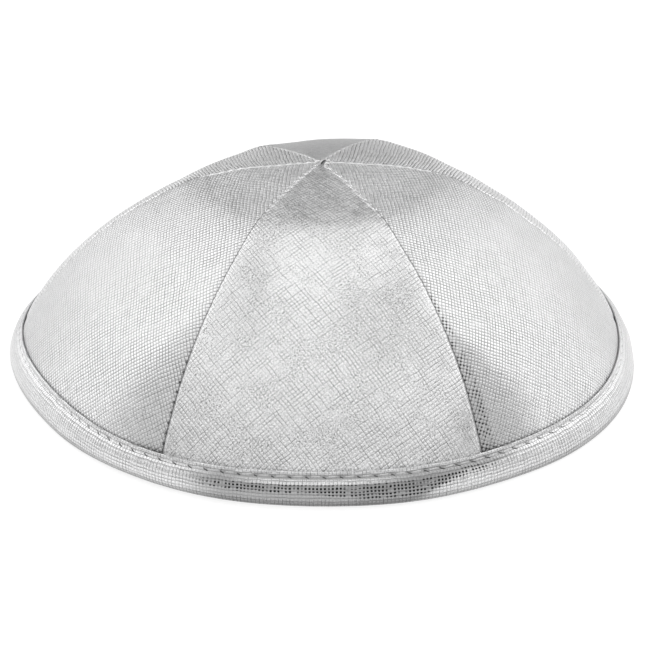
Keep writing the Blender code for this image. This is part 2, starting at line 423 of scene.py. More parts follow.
def wired(socket, value):
    if isinstance(value, Value):
        value.tree.links.new(value.socket, socket)
    else:
        socket.default_value = value


def maths(operation, *values):
    """A sum of values, of which one or more come from nodes."""
    tree = next(value.tree for value in values if isinstance(value, Value))
    node = tree.nodes.new("ShaderNodeMath")
    node.operation = operation
    for socket, value in zip(node.inputs, values):
        wired(socket, value)
    return Value(tree, node.outputs[0])


def scaled(value, by, plus):
    return maths("MULTIPLY_ADD", value, by, plus)


def ramped(value, low, high, to_low=0.0, to_high=1.0):
    """A smooth step from to_low to to_high as the value goes from low to high, or down to it."""
    node = value.tree.nodes.new("ShaderNodeMapRange")
    node.interpolation_type = "SMOOTHSTEP"
    for title, given in (("Value", value), ("From Min", low), ("From Max", high),
                         ("To Min", to_low), ("To Max", to_high)):
        wired(node.inputs[title], given)
    return Value(value.tree, node.outputs["Result"])


def lessened(value, mask, share):
    """The value made smaller by a share of itself where the mask is 1."""
    return value * scaled(mask, -share, 1.0)


def drawn_to(value, target, mask):
    """The value where the mask is 0, and the target where it is 1."""
    return scaled(mask, target - value, value)


def joined(x, y, z=0.0):
    node = x.tree.nodes.new("ShaderNodeCombineXYZ")
    for socket, value in zip(node.inputs, (x, y, z)):
        wired(socket, value)
    return Value(x.tree, node.outputs[0])


def chance_at(x, y):
    """One random number for each pair of numbers."""
    node = x.tree.nodes.new("ShaderNodeTexWhiteNoise")
    node.noise_dimensions = "2D"
    wired(node.inputs["Vector"], joined(x, y))
    return Value(x.tree, node.outputs["Value"])


def clouds(place, scale, detail):
    node = place.tree.nodes.new("ShaderNodeTexNoise")
    wired(node.inputs["Vector"], place)
    node.inputs["Scale"].default_value = scale
    node.inputs["Detail"].default_value = detail
    return Value(place.tree, node.outputs["Fac"])


def split_map(tree, title):
    node = tree.nodes.new("ShaderNodeUVMap")
    node.uv_map = title
    parts = tree.nodes.new("ShaderNodeSeparateXYZ")
    tree.links.new(node.outputs[0], parts.inputs[0])
    return Value(tree, parts.outputs[0]), Value(tree, parts.outputs[1])


def new_material(name):
    material = bpy.data.materials.new(name)
    material.use_nodes = True
    tree = material.node_tree
    return material, tree, tree.nodes["Principled BSDF"]


def bumped(shader, height, strength, depth):
    bump = height.tree.nodes.new("ShaderNodeBump")
    bump.inputs["Strength"].default_value = strength
    bump.inputs["Distance"].default_value = depth
    wired(bump.inputs["Height"], height)
    height.tree.links.new(bump.outputs[0], shader.inputs["Normal"])


# Weave

# The cloths: how bright the threads are, which also holds painted light and shade, the same silver cloth
# being lightest on the back left and back right panels, then the side ones, and darker on the front and the
# back one; how dark and how wide the gaps between them are, how uneven the threads are, how deep the weave
# is, how far the foil has worn into specks, and its grain
CLOTHS = {
    "front": {"shine_and_painted_light": 0.85, "gap": 0.50, "gap_width": 0.36, "uneven": 0.85,
              "relief": 0.40, "specks": 0.9, "grain": 1.25},
    "side": {"shine_and_painted_light": 0.93, "gap": 0.38, "gap_width": 0.50, "uneven": 0.30,
             "relief": 0.95, "specks": 0.2, "grain": 0.2},
    "back": {"shine_and_painted_light": 0.99, "gap": 0.26, "gap_width": 0.62, "uneven": 0.30,
             "relief": 1.10, "specks": 0.2, "grain": 0.2},
    "far": {"shine_and_painted_light": 0.78, "gap": 0.60, "gap_width": 0.40, "uneven": 0.30,
            "relief": 0.60, "specks": 0.2, "grain": 0.2},
    "band": {"shine_and_painted_light": 0.85, "gap": 0.50, "gap_width": 0.52, "uneven": 0.45,
             "relief": 0.75, "specks": 0.5, "grain": 0.8},
}

NOISE_STEP = 0.1        # of the noises' place for each thread, so that their scales are for ten threads
WANDER_SCALE = 2.2
WANDER_A = 0.8          # how far each family of threads wanders from straight, in threads
WANDER_B = -0.7
STREAK_APART = 5.37     # how far apart neighbouring threads are in the noise that makes gaps come and go
STREAK_ALONG = 0.13     # how fast that noise changes along a thread
WORN_SCALE = 1.1
SPECK_SCALE = 22.0
GRAIN_SCALE = 26.0
SPOT_SPREAD = 0.08      # how much lighter one thread crossing may be than another
SPECK_DARKNESS = 0.55
WORN_GAPS = 0.45        # how much of the gaps' darkness the wear takes away, and of the weave's height
WORN_HEIGHT = 0.5
CLOTH_ROUGHNESS = 0.34
ROUGHNESS_SPREAD = 0.12
THREAD_ROUNDNESS = 0.6
HEIGHT_SPREAD = 0.20
CLOTH_METAL = 0.85
CLOTH_BLUE = 1.004      # how much more blue than red and green the cloth gives back
WEAVE_DEPTH = 0.00018

# Where each mark begins and where it is full, then its least and its most, where they aren't 0 and 1
MARKS = {
    # Of the weave, in the noises' values or in shares of a thread
    "streak": (0.34, 0.68),
    "corner": (0.96, 0.52),
    "corner_kept": (0.02, 0.30),
    "worn": (0.47, 0.60),
    "speck": (0.50, 0.66),
    # Of the panels, in millimetres from a seam, from the rim, or down from the crown's tip
    # Of these, the rim line is painted shade under the band's lip, the seam line painted shade in the seams'
    # creases, the edges and their dots painted highlights near the tip, and the side panels' calm painted shade
    "rim_line": (0.8, 0.1),
    "rim_shade_across": (4, 34, 0.1, 1),
    "fleck": (0.50, 0.64),
    "seam_shade_line": (0.26, 0.08),
    "seam_shade_line_down": (23, 36),
    "edge_dots": (0.48, 0.26),
    "edge_dots_along": (0.36, 0.20, 0.15, 0.9),
    "side_edge": (0.75, 0.45),
    "far_edge": (0.65, 0.35, 0, 0.7),
    "edge_down": (40, 22),
    "side_calm": (50, 16),
    "side_calm_down": (18, 42, 0, 0.45),
    "far_calm": (18, 6),
    "far_calm_down": (34, 56, 0, 0.6),
    "needle_hole": (0.60, 0.32),
    "needle_hole_along": (0.17, 0.07),
    "needle_hole_down": (74, 80),
    # Of the wedges beside the two front seams: their width, then how far out in shares of it, and down
    "left_shade_width": (58, 98, 1, 18),
    "left_shade_out": (1.3, 0.45),
    "left_shade_down": (60, 80),
    "right_shade_width": (66, 98, 1.5, 18),
    "right_shade_out": (1.2, 0.50),
    "right_shade_down": (64, 80),
    # Painted dark reflection in the weave's holes beside the right front seam
    "seam_reflection_holes_width": (54, 96, 0.7, 3.8),
    "seam_reflection_holes_out": (1.1, 0.7),
    "seam_reflection_holes_down": (56, 66),
    "seam_reflection_holes_kept": (0.36, 0.52),
    # Of the band, in millimetres round from its front, or down from its upper edge where the name says so
    # Of these, the slots are painted shadow; across the front lies a painted dark reflection, but for a glint
    # left bright, with painted dark holes in the weave; painted shade lies on the roll below the stitches, at
    # the front and along the foot
    "slot_half_length": (12, 36, 0.14, 0.20),
    "slot_width": (0.28, 0.12),
    "slot_fade": (95, 55, 0.2, 0.75),
    "glint": (26, 10),
    "glint_top_down": (1.5, 2),
    "glint_foot_down": (3.5, 2.9),
    "dark_reflection_left": (-36, -22),
    "dark_reflection_right": (58, 42),
    "dark_reflection_top_down": (0.1, 0.7),
    "dark_reflection_depth": (20, 38, 10, 3.4),
    "upper_top_down": (1.3, 1.7),
    "upper_foot_down": (3.8, 3),
    "band_calm_down": (7.5, 6.9, 0, 0.6),
    "band_sides": (80, 115, 0, 0.55),
    "shade_left": (4, 14),
    "shade_right": (34, 24),
    "shade_down": (1.6, 3),
    "foot_down": (6.4, 8.7),
    # Painted dark reflection in the weave's holes at the band's front
    "reflection_holes": (44, 28),
    "reflection_holes_top": (24, 42, 2.9, 1.5),
    "reflection_holes_foot": (-2, 14, 5.9, 7.4),
    "reflection_holes_foot_rise": (24, 38, 0, 3.2),
    "reflection_holes_kept": (0.34, 0.46),
}

# How much darker each mark makes the cloth, as a share of it
# All of these but the needle holes are painted light: painted shade under the band's lip at the rim, in the
# seams' creases, beside the front seams, on the band's upper roll, at its front and along its foot, painted
# shadow in the stitch slots, and painted dark reflection across the band's front and in the weave's holes there
# and beside the right front seam
DARKER = {
    "rim_line": 0.10, "side_rim_shade_line": 0.40, "seam_shade_line": 0.58, "needle_hole": 0.75,
    "left_shade": 0.20, "right_shade": 0.28, "seam_reflection_holes": 0.88, "dark_reflection": 0.41,
    "upper": 0.05, "dark_reflection_upper": 0.12, "shade": 0.12, "slot": 1.0,
    "foot": 0.43, "reflection_holes": 0.97,
}

# How much flatter each mark makes the weave, as a share of its height
FLATTER = {"calm": 0.9, "edge": 0.9, "left_shade": 0.2, "seam_reflection_holes": 0.5, "reflection_holes": 0.3}

# What the cloth comes to where its weave is calm, which on the side panels is painted shade, and on the
# folded edges beside the seams near the tip, where it is a painted highlight
LEVELS = {"side_calm": 0.48, "far_calm": 0.66, "band_calm": 0.76, "band_sides": 0.72, "edge": 0.99}

# Lighter and darker patches of the front panel, in millimetres across from its middle and down from the
# crown's tip: how wide and long each one is, how much darker it is, and how dark its flecks are, if any
PATCHES = [
    {"across": 17, "down": 64, "wide": 15, "long": 17, "shade": 0.08, "flecks": 0.28},
    {"across": -22, "down": 58, "wide": 13, "long": 24, "shade": 0.09},
    {"across": 3, "down": 46, "wide": 22, "long": 17, "shade": -0.08},
    {"across": 30, "down": 92, "wide": 16, "long": 14, "shade": -0.09},
    {"across": 29, "down": 74, "wide": 8, "long": 11, "shade": 0.07},
]
PATCH_CORE_WIDE = 0.3   # share of a patch that is full
PATCH_CORE_LONG = 0.35
FLECK_SCALE = 2.6
SEAM_REFLECTION_HOLES_SCALE = 0.35    # of the noises that leave some of the weave's holes without their painted dark reflection, on a panel and the band
REFLECTION_HOLES_SCALE = 1.6
REFLECTION_HOLES_STRETCH = 0.1    # how much slower the band's noise changes round it than down it
REFLECTION_HOLES_MIDDLE = 9       # of the band's stretch of painted dark reflection in the weave's holes, in millimetres to the right of its front
REFLECTION_HOLES_SOFT_TOP = 0.5   # how softly it begins and ends down the band, in millimetres
REFLECTION_HOLES_SOFT_FOOT = 0.6
REFLECTION_HOLES_GAIN = 1.4
DARK_REFLECTION_SOFT = 1.5
SLOT_SLANT = 2.0        # how far a slot slants over one stitch, in millimetres
SLOT_SOFT = 0.08


def mark(value, name):
    return ramped(value, *MARKS[name])


def weave(tree, cloth):
    """Level, roughness and height of silver cloth, and how near a spot is to a corner between threads."""
    a, b = split_map(tree, "cloth")
    place = joined(a * NOISE_STEP, b * NOISE_STEP)
    wander = clouds(place, WANDER_SCALE, 1.0) - 0.5
    a = scaled(wander, WANDER_A, a)
    b = scaled(wander, WANDER_B, b)
    across_a = abs(maths("COSINE", a * pi))
    across_b = abs(maths("COSINE", b * pi))
    spot = chance_at(maths("ROUND", a), maths("ROUND", b))
    gaps = []
    for across, number, other in ((across_a, a, b), (across_b, b, a)):
        streak = clouds(joined(maths("FLOOR", number) * STREAK_APART, other * STREAK_ALONG), 1.0, 3.0)
        depth = ramped(streak, *MARKS["streak"], 1 - cloth["uneven"], 1 + cloth["uneven"])
        gaps.append(ramped(across, cloth["gap_width"], 0.0) * depth)
    kept = mark(chance_at(maths("FLOOR", a), maths("FLOOR", b)), "corner_kept")
    corner = mark(across_a, "corner") * mark(across_b, "corner") * kept
    worn = ramped(clouds(place, WORN_SCALE, 3.0), *MARKS["worn"], 0.0, cloth["specks"])
    speck = mark(clouds(place, SPECK_SCALE, 3.0), "speck")
    level = scaled(spot, SPOT_SPREAD, cloth["shine_and_painted_light"] - SPOT_SPREAD / 2)
    level = scaled(clouds(place, GRAIN_SCALE, 1.0) - 0.5, cloth["grain"], level)
    level = scaled(worn * speck, -SPECK_DARKNESS, level)
    level = lessened(level, lessened(maths("MAXIMUM", *gaps), worn, WORN_GAPS), 1 - cloth["gap"])
    rough = scaled(spot, ROUGHNESS_SPREAD, CLOTH_ROUGHNESS)
    tall = scaled(spot, HEIGHT_SPREAD, maths("POWER", across_a * across_b, THREAD_ROUNDNESS))
    return level, rough, lessened(tall, worn, WORN_HEIGHT), corner


def finish_cloth(shader, cloth, level, rough, tall):
    wired(shader.inputs["Base Color"], joined(level, level, level * CLOTH_BLUE))
    wired(shader.inputs["Roughness"], rough)
    shader.inputs["Metallic"].default_value = CLOTH_METAL
    bumped(shader, tall, cloth["relief"], WEAVE_DEPTH)


def patched(level, from_seam, upto_seam, down):
    """The front panel's level with its patches, full in their middles, and their flecks."""
    across = (from_seam - upto_seam) * 0.5
    fleck = mark(clouds(joined(upto_seam, down), FLECK_SCALE, 3.0), "fleck")
    for patch in PATCHES:
        sides = ramped(abs(across - patch["across"]), patch["wide"], patch["wide"] * PATCH_CORE_WIDE)
        ends = ramped(abs(down - patch["down"]), patch["long"], patch["long"] * PATCH_CORE_LONG)
        level = lessened(level, sides * ends, patch["shade"])
        if "flecks" in patch:
            level = lessened(level, sides * ends * fleck, patch["flecks"])
    return level


def wedge(out, down, name):
    """A mark beside a seam that widens downwards."""
    share = maths("DIVIDE", out, mark(down, name + "_width"))
    return mark(share, name + "_out") * mark(down, name + "_down")


def panel_material(name, cloth, front_seam_side, is_front):
    """Cloth with a thin line of painted shade in each seam's crease and painted shade at the rim, and what the
    photo shows on the panel beside them.

    The seam-side argument says where a front side panel's front seam is, with painted shade beside it and,
    by the right front seam, painted dark reflection in the weave's holes. On all panels but the front one,
    painted highlights follow the seams near the tip, and lower down the weave is calm, and on the side panels
    darkened by painted shade.
    """
    material, tree, shader = new_material(name)
    level, rough, tall, corner = weave(tree, cloth)
    from_seam, upto_seam = split_map(tree, "seam")
    stitch, down = split_map(tree, "run")
    to_rim, to_seam = split_map(tree, "rim")
    phase = abs(maths("FRACT", stitch) - 0.5)
    near, other = (upto_seam, from_seam) if front_seam_side == "to" else (from_seam, upto_seam)
    # Painted shade in a thin line where the panel goes under the band's lip, stronger on the two front side
    # panels but fading towards their far seams
    rim_line = mark(to_rim, "rim_line")
    if front_seam_side:
        rim_line = rim_line * mark(other, "rim_shade_across")
    level = lessened(level, rim_line, DARKER["side_rim_shade_line" if front_seam_side else "rim_line"])
    if is_front:
        level = patched(level, from_seam, upto_seam, down)
    else:
        side = "side" if front_seam_side else "far"
        out = other if front_seam_side else to_seam
        # Lower down the weave is calmed and darkened: on the side panels by painted shade towards their far
        # seam, on the back panels beside their seams
        calm = mark(out, side + "_calm") * mark(down, side + "_calm_down")
        level = drawn_to(level, LEVELS[side + "_calm"], calm)
        tall = lessened(tall, calm, FLATTER["calm"])
        # Near the tip, a painted highlight brightens and smooths the cloth along the seams, on the side panels
        # also in bright dots beside the front seam
        edge = mark(out, side + "_edge")
        if front_seam_side:
            edge = maths("MAXIMUM", mark(near, "edge_dots") * mark(phase, "edge_dots_along"), edge)
        edge = edge * mark(down, "edge_down")
        level = drawn_to(level, LEVELS["edge"], edge)
        tall = lessened(tall, edge, FLATTER["edge"])
    # Painted shade in a thin line in each seam's crease, below where the seams stand up near the tip
    level = lessened(level, mark(to_seam, "seam_shade_line") * mark(down, "seam_shade_line_down"), DARKER["seam_shade_line"])
    if front_seam_side == "to":
        hole = mark(phase, "needle_hole_along") * mark(near, "needle_hole") * mark(down, "needle_hole_down")
        level = lessened(level, hole, DARKER["needle_hole"])
        shade = wedge(near, down, "left_shade")
        level = lessened(level, shade, DARKER["left_shade"])
        tall = lessened(tall, shade, FLATTER["left_shade"])
    if front_seam_side == "from":
        level = lessened(level, wedge(near, down, "right_shade"), DARKER["right_shade"])
        # Painted dark reflection in the weave's holes beside the right front seam, in patches, with the weave
        # flattened there
        seam_reflection_holes = wedge(near, down, "seam_reflection_holes")
        kept = mark(clouds(joined(near, down), SEAM_REFLECTION_HOLES_SCALE, 2.0), "seam_reflection_holes_kept")
        level = lessened(level, corner * seam_reflection_holes * kept, DARKER["seam_reflection_holes"])
        tall = lessened(tall, seam_reflection_holes, FLATTER["seam_reflection_holes"])
    finish_cloth(shader, cloth, level, rough, tall)
    return material


def slot_shadow_mask(stitch, depth, round_way):
    """Painted shadow in the slots where the topstitching goes in, longer and weaker away from the front."""
    phase = maths("FRACT", maths("ADD", stitch, 0.5)) - 0.5
    slanted = scaled(phase, -SLOT_SLANT, depth - STITCH_DROP * MILLIMETRES)
    half_length = mark(round_way, "slot_half_length")
    long = ramped(abs(phase), half_length, half_length - SLOT_SOFT)
    return long * mark(abs(slanted), "slot_width") * mark(round_way, "slot_fade")


def dark_reflection_mask(from_front, depth, round_way):
    """Painted dark reflection across the band's front, but for a glint across it that is left bright."""
    glint = mark(depth, "glint_top_down") * mark(depth, "glint_foot_down") * mark(round_way, "glint")
    lowest = mark(from_front, "dark_reflection_depth")
    dark_reflection = mark(from_front, "dark_reflection_left") * mark(from_front, "dark_reflection_right")
    dark_reflection = dark_reflection * ramped(depth, lowest, lowest - DARK_REFLECTION_SOFT)
    return dark_reflection * (1.0 - glint) * mark(depth, "dark_reflection_top_down")


def reflection_holes_mask(from_front, depth):
    """Painted dark reflection in the weave's holes at the band's front, but for some patches."""
    lowest = mark(from_front, "reflection_holes_foot") - mark(from_front, "reflection_holes_foot_rise")
    highest = mark(from_front, "reflection_holes_top")
    rows = ramped(depth, highest, maths("ADD", highest, REFLECTION_HOLES_SOFT_TOP))
    rows = rows * ramped(depth, lowest, lowest - REFLECTION_HOLES_SOFT_FOOT)
    kept = mark(clouds(joined(from_front * REFLECTION_HOLES_STRETCH, depth), REFLECTION_HOLES_SCALE, 3.0), "reflection_holes_kept")
    return mark(abs(from_front - REFLECTION_HOLES_MIDDLE), "reflection_holes") * rows * kept


def band_material(name, cloth):
    """Cloth with painted shadow in its stitch slots, painted dark reflection across the front and in the
    weave's holes there, painted shade on its upper roll, front and foot, and calm sides.
    """
    material, tree, shader = new_material(name)
    level, rough, tall, corner = weave(tree, cloth)
    stitch, depth = split_map(tree, "seam")
    from_front = split_map(tree, "run")[0]
    round_way = abs(from_front)
    dark_reflection = dark_reflection_mask(from_front, depth, round_way)
    # Painted shade on the roll below the stitches
    upper = mark(depth, "upper_top_down") * mark(depth, "upper_foot_down")
    sides = mark(round_way, "band_sides")
    level = drawn_to(level, LEVELS["band_sides"], sides)
    tall = lessened(tall, sides, FLATTER["calm"])
    level = drawn_to(level, LEVELS["band_calm"], dark_reflection * mark(depth, "band_calm_down"))
    shade = mark(from_front, "shade_left") * mark(from_front, "shade_right") * mark(depth, "shade_down")
    reflection_holes = reflection_holes_mask(from_front, depth)
    hole = maths("MINIMUM", reflection_holes * corner * REFLECTION_HOLES_GAIN, 1.0)
    # Each of these darkens the cloth with painted light: dark reflection at the front, shade on the upper roll,
    # at the front and along the foot, shadow in the slots, and dark reflection in the weave's holes at the
    # front
    for title, mask in (("dark_reflection", dark_reflection), ("upper", upper), ("dark_reflection_upper", dark_reflection * upper), ("shade", shade),
                        ("slot", slot_shadow_mask(stitch, depth, round_way)), ("foot", mark(depth, "foot_down")),
                        ("reflection_holes", hole)):
        level = lessened(level, mask, DARKER[title])
    tall = lessened(tall, reflection_holes, FLATTER["reflection_holes"])
    finish_cloth(shader, cloth, level, rough, tall)
    return material


FIBRE_SCALE = 6000.0
FIBRE_RANGE = (0.30, 0.70)
FIBRE_LEVELS = (0.88, 1.10)
FIBRE_ROUGHNESS = (0.60, 0.42)
FIBRE_RELIEF = 0.5
FIBRE_DEPTH = 0.00005
THREAD_METAL = 0.5


def thread_material(name, level):
    """Spun thread, with light and dark fibres."""
    material, tree, shader = new_material(name)
    place = tree.nodes.new("ShaderNodeTexCoord")
    fibres = clouds(Value(tree, place.outputs["Object"]), FIBRE_SCALE, 2.0)
    shade = ramped(fibres, *FIBRE_RANGE, level * FIBRE_LEVELS[0], level * FIBRE_LEVELS[1])
    wired(shader.inputs["Base Color"], joined(shade, shade, shade))
    wired(shader.inputs["Roughness"], ramped(fibres, *FIBRE_RANGE, *FIBRE_ROUGHNESS))
    shader.inputs["Metallic"].default_value = THREAD_METAL
    bumped(shader, fibres, FIBRE_RELIEF, FIBRE_DEPTH)
    return material


# Band

# The band's outer face: depth down its slant from its upper edge, and how far it stands off the panels,
# in shares of the band's slant
BAND_FACE = [
    {"depth": -0.006, "off": 0.014},
    {"depth": -0.024, "off": 0.030},
    {"depth": -0.014, "off": 0.060},
    {"depth": 0.020, "off": 0.076},
    {"depth": 0.060, "off": 0.072},
    {"depth": 0.090, "off": 0.060},
    {"depth": 0.116, "off": 0.058},
    {"depth": 0.145, "off": 0.072},
    {"depth": 0.210, "off": 0.124},
    {"depth": 0.340, "off": 0.178},
    {"depth": 0.500, "off": 0.204},
    {"depth": 0.680, "off": 0.206},
    {"depth": 0.900, "off": 0.165},
]

# How far the band's foot is drawn in under the cap, in metres, by azimuth
BAND_TUCK = [
    {"azimuth": -180, "tuck": 0.0004},
    {"azimuth": -90, "tuck": 0.0009},
    {"azimuth": -52, "tuck": 0.0011},
    {"azimuth": -31, "tuck": 0.0028},
    {"azimuth": -8, "tuck": 0.0017},
    {"azimuth": 12, "tuck": 0.0013},
    {"azimuth": 25, "tuck": 0.0016},
    {"azimuth": 46, "tuck": 0.0004},
    {"azimuth": 90, "tuck": 0.0000},
    {"azimuth": 180, "tuck": 0.0004},
]
TUCK_CURVE = 1.6        # how much more of the tuck is at the foot
FACE_STEPS = 36
FOOT_STEPS = 8
INSIDE_STEPS = 12
FOOT_ROUNDNESS = 0.62   # below 1, the foot is squarer than round
INSIDE_BOW = 0.0002     # how far the tape's inner face bows inwards
LIP_RISE = 0.0003       # how far the inner face's edge stands above the rim, and how far it turns out
LIP_TURN = 0.0004
LIP_WALL = 0.9          # share of the tape's wall
LINING_STEP = -3        # every third point of the outline, backwards


def on_slant(depth, stand_off):
    out = depth * sin(FLARE) + stand_off * cos(FLARE)
    return out, BAND_HEIGHT - depth * cos(FLARE) + stand_off * sin(FLARE)


def band_outline():
    """The cut tape's outer side, down the band's face, round its foot and up inside, and its lining side.

    Both are points out from the rim and up, and the second one goes back the same way.
    """
    order = np.arange(len(BAND_FACE), dtype=float)
    steps = np.linspace(0, len(BAND_FACE) - 1, FACE_STEPS)
    depths = smooth_curve(order, [row["depth"] * BAND_SLANT for row in BAND_FACE], steps)
    offs = smooth_curve(order, [row["off"] * BAND_SLANT for row in BAND_FACE], steps)
    points = [on_slant(depth, off) for depth, off in zip(depths, offs)]
    inner_off = -PANEL_WALL - TUCK_CLEARANCE - TAPE_WALL
    inner_foot = on_slant(BAND_SLANT - FOLD_RADIUS / cos(FLARE), inner_off)
    start = points[-1]
    centre_out = (start[0] + inner_foot[0]) / 2
    half_wide = (start[0] - inner_foot[0]) / 2
    for step in range(1, FOOT_STEPS):
        angle = pi * step / FOOT_STEPS
        flat = abs(cos(angle)) ** FOOT_ROUNDNESS * (1 if cos(angle) > 0 else -1)
        lift = start[1] + (inner_foot[1] - start[1]) * step / FOOT_STEPS
        points.append((centre_out + half_wide * flat, lift * (1 - sin(angle) ** FOOT_ROUNDNESS)))
    for step in range(INSIDE_STEPS + 1):
        share = step / INSIDE_STEPS
        depth = (BAND_SLANT - FOLD_RADIUS / cos(FLARE)) * (1 - share)
        points.append(on_slant(depth, inner_off - INSIDE_BOW * sin(pi * share)))
    points.append(on_slant(-LIP_RISE, inner_off + LIP_TURN))
    points.append(on_slant(0.0, inner_off + TAPE_WALL * LIP_WALL))
    outer = np.array(points)
    along = np.gradient(outer, axis=0)
    across = np.stack([along[:, 1], -along[:, 0]], axis=-1) / np.linalg.norm(along, axis=1)[:, None]
    lining = (outer + TAPE_THICK * across)[::LINING_STEP]
    return outer, lining


def walked_along(points):
    """How far along a line of points each one is."""
    return np.concatenate([[0], np.cumsum(np.linalg.norm(np.diff(points, axis=0), axis=1))])


def rim_line(count):
    """Azimuths evenly spaced along the rim, their radii and ways round it, and the rim's length."""
    azimuths, radii = rim_places(np.linspace(0, 1, RIM_STEPS, endpoint=False))
    azimuths = np.append(azimuths, azimuths[0] + 2 * pi)
    radii = np.append(radii, radii[0])
    walked = walked_along(placed(azimuths, radii, 0))
    places = np.linspace(0, walked[-1], count, endpoint=False)
    return np.interp(places, walked, azimuths), np.interp(places, walked, radii), places, walked[-1]


def make_band(material):
    """The folded tape round the rim, pulled in at its topstitching. Also its flat width and length."""
    outer, lining = band_outline()
    azimuth, radius, along, length = rim_line(BAND_STATIONS)
    stitches = round(length / STITCH_PITCH)
    path = walked_along(outer)
    cut_width = path[-1]
    path = np.concatenate([path, path[::LINING_STEP]])
    outline = np.concatenate([outer, lining])
    count = len(outline)
    phase = along / length * stitches
    depth = path - path[np.argmin(np.abs(outline[:FACE_STEPS, 1] - BAND_HEIGHT))]
    pulled = np.exp(-((depth - STITCH_DROP) / GROOVE_REACH) ** 2) * (path < path[FACE_STEPS - 1])
    wave = 0.5 + 0.5 * np.cos(2 * pi * phase)
    puff = slack_waves(placed(azimuth, radius, 0), PUFF_WAVES, PUFF_SEED)
    face = np.clip((depth - STITCH_DROP) / PUFF_START, 0, 1) * (path < path[FACE_STEPS - 1] + PUFF_PAST)
    stand = PUFF_DEPTH * puff[:, None] * (face * np.clip(outline[:, 1] / PUFF_FADE, 0, 1))[None, :]
    stand -= GROOVE_DEPTH * pulled[None, :] * wave[:, None]
    turn = (np.degrees(azimuth) + 180) % 360 - 180
    tuck = smooth_curve([row["azimuth"] for row in BAND_TUCK], [row["tuck"] for row in BAND_TUCK], turn)
    low_share = np.clip(1 - outline[:, 1] / BAND_HEIGHT, 0, 1) ** TUCK_CURVE
    out = outline[None, :, 0] + stand * cos(FLARE) - tuck[:, None] * low_share[None, :]
    up = outline[None, :, 1] + stand * sin(FLARE)
    points = placed(azimuth[:, None] + 0 * out, radius[:, None] + out, np.maximum(up, 0))
    rows = np.arange(BAND_STATIONS)
    index = rows[:, None] * count + np.arange(count)[None, :]
    ahead = np.roll(index, -1, axis=0)
    across = np.roll(index, -1, axis=1)
    corner = np.roll(ahead, -1, axis=1)
    faces = np.stack([index, ahead, corner, across], axis=-1).reshape(-1, 4)
    threads_round = round(length / TAPE_PITCH)
    station, place = np.meshgrid(rows, np.arange(count), indexing="ij")
    stations = np.stack([station, station + 1, station + 1, station], axis=-1).ravel()
    places = np.stack([place, place, place + 1, place + 1], axis=-1).ravel() % count
    share = stations / BAND_STATIONS
    from_front = (share * length - along[np.argmin(points[:, 0, 1])] + length / 2) % length - length / 2
    maps = {
        "cloth": paired(share * threads_round, path[places] / TAPE_PITCH),
        "seam": paired(share * stitches, depth[places] * MILLIMETRES),
        "run": paired(from_front, path[places]) * MILLIMETRES,
    }
    item = mesh_object("band_cloth", points.reshape(-1, 3), faces, maps, material)
    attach(item, "root")
    return item, cut_width, length


THREAD_RINGS = 7
THREAD_TAPER = 0.08     # how far into its rounded shape a length of thread starts and ends
THREAD_FULLNESS = 0.4
THREAD_SINKING = 0.5
THREAD_TIP = 0.35       # thickness at its ends, as a share


def capsule(start, end, radius, sides, sink):
    """Points and faces of a short length of thread from start to end, dipping at its ends along sink."""
    axis = (end - start).normalized()
    side = axis.orthogonal().normalized()
    other = axis.cross(side)
    points = []
    for ring in range(THREAD_RINGS):
        share = ring / (THREAD_RINGS - 1)
        centre = start.lerp(end, share) + sink * (1 - sin(pi * share) ** THREAD_SINKING)
        rounded = sin(pi * (THREAD_TAPER + (1 - 2 * THREAD_TAPER) * share)) ** THREAD_FULLNESS
        thick = radius * max(THREAD_TIP, rounded)
        for corner in range(sides):
            angle = 2 * pi * corner / sides
            points.append(centre + (side * cos(angle) + other * sin(angle)) * thick)
    faces = [list(range(sides))[::-1], [(THREAD_RINGS - 1) * sides + i for i in range(sides)]]
    for ring in range(THREAD_RINGS - 1):
        for corner in range(sides):
            after = (corner + 1) % sides
            low = ring * sides
            faces.append([low + corner, low + after, low + sides + after, low + sides + corner])
    return points, faces


def make_thread(name, pieces, material):
    """Many short lengths of thread as one object."""
    points, faces = [], []
    for some_points, some_faces in pieces:
        start = len(points)
        points += [list(point) for point in some_points]
        faces += [[start + i for i in face] for face in some_faces]
    item = mesh_object(name, np.array(points), faces, {}, material)
    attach(item, "root")
    return item


STITCH_OFF = 0.0485     # how far the stitches stand off the panels, in shares of the band's slant
STITCH_START = 0.14     # share of a stitch's pitch where its thread comes out, and as much before its end
STITCH_SKEW = 0.00012
STITCH_SINK = 0.00022


def band_stitches():
    """The topstitching: one length of thread between each two needle holes, on the band's outer face."""
    azimuth, radius, _, length = rim_line(BAND_STATIONS)
    stitches = round(length / STITCH_PITCH)
    off = STITCH_OFF * BAND_SLANT
    pieces = []
    for stitch in range(stitches):
        ends = []
        for share, shift in ((STITCH_START, STITCH_SKEW), (1 - STITCH_START, -STITCH_SKEW)):
            place = (stitch + share) / stitches * BAND_STATIONS
            i = int(place) % BAND_STATIONS
            turn = azimuth[i] + (place - int(place)) * (2 * pi / BAND_STATIONS)
            out, up = on_slant(STITCH_DROP + shift, off)
            ends.append(Vector(placed(turn, radius[i] + out, up)))
        middle = (ends[0] + ends[1]) / 2
        inward = Vector((-middle.x, -middle.y, 0)).normalized() * STITCH_SINK
        pieces.append(capsule(ends[0], ends[1], THREAD_RADIUS, 6, inward))
    return pieces


